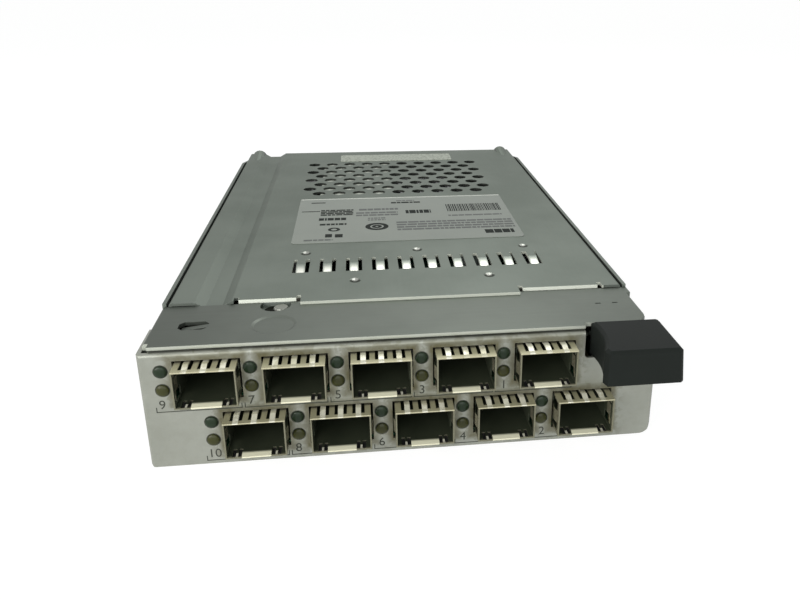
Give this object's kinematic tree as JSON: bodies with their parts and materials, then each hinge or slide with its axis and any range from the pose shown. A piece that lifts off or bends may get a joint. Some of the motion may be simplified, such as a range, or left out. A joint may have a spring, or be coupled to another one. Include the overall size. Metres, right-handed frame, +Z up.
{
  "type": "ethernet module",
  "caption": "Slide-in Ethernet I/O module: sheet-metal tray and vented cover, staggered SFP-type port cages with light pipes in a faceplate, and an ejector lever.",
  "frame": {"origin": "centre of the tray's underside, midway between the side walls and between the faceplate's front and the rear wall", "axes": "+X to the right seen from the faceplate, +Y from the faceplate to the midplane end, +Z up; the module lies on its base"},
  "size_m": [0.127, 0.2172, 0.0343],
  "materials": {
    "plated_sheet": "zinc-plated steel sheet with a dull grey-green passivated surface",
    "face_sheet": "plated steel sheet, lighter and finely brushed",
    "cage_metal": "thin nickel-plated spring sheet",
    "label_film": "printed grey label film",
    "strip_film": "pale label film",
    "black_moulding": "black moulded plastic with a fine grain",
    "link_lens": "dark green light pipe end",
    "activity_lens": "olive light pipe end",
    "board_laminate": "green solder mask",
    "black_resin": "black socket moulding",
    "chip_package": "black chip package",
    "connector_housing": "dark grey connector housing",
    "bare_aluminium": "extruded aluminium",
    "fastener_steel": "zinc-plated steel"
  },
  "bodies": {
    "module": {"activity_light_pipes": "activity_lens", "board_screws": "fastener_steel", "bulk_capacitors": "bare_aluminium", "chassis_tray": "plated_sheet", "cover_screws": "fastener_steel", "faceplate": "face_sheet", "flash_chips": "chip_package", "floor_standoffs": "fastener_steel", "front_bridge": "plated_sheet", "guide_sockets": "connector_housing", "heat_sink": "bare_aluminium", "indicator_chips": "chip_package", "lever_bracket": "plated_sheet", "link_light_pipes": "link_lens", "lower_port_sockets": "black_resin", "main_board": "board_laminate", "main_chip": "chip_package", "pivot_clip": "fastener_steel", "pivot_pin": "fastener_steel", "pivot_washer": "fastener_steel", "port_board": "board_laminate", "port_cage_1": "cage_metal", "port_cage_10": "cage_metal", "port_cage_2": "cage_metal", "port_cage_3": "cage_metal", "port_cage_4": "cage_metal", "port_cage_5": "cage_metal", "port_cage_6": "cage_metal", "port_cage_7": "cage_metal", "port_cage_8": "cage_metal", "port_cage_9": "cage_metal", "power_connector": "connector_housing", "power_inductors": "chip_package", "rating_label": "label_film", "rear_strip_label": "strip_film", "retimer_chips": "chip_package", "signal_connector_left": "connector_housing", "signal_connector_right": "connector_housing", "stacking_connector_lower": "black_resin", "stacking_connector_upper": "black_resin", "stacking_standoffs": "fastener_steel", "top_cover": "plated_sheet", "upper_port_sockets": "black_resin"},
    "ejector_lever": {"lever_arm": "plated_sheet", "lever_grip": "black_moulding"}
  },
  "joints": [
    {"name": "ejector_pivot", "type": "hinge", "parent": "module", "child": "ejector_lever", "pos_m": [0.056, -0.084, 0.0279], "axis": [0, 0, 1], "range_deg": [0, 45]}
  ]
}
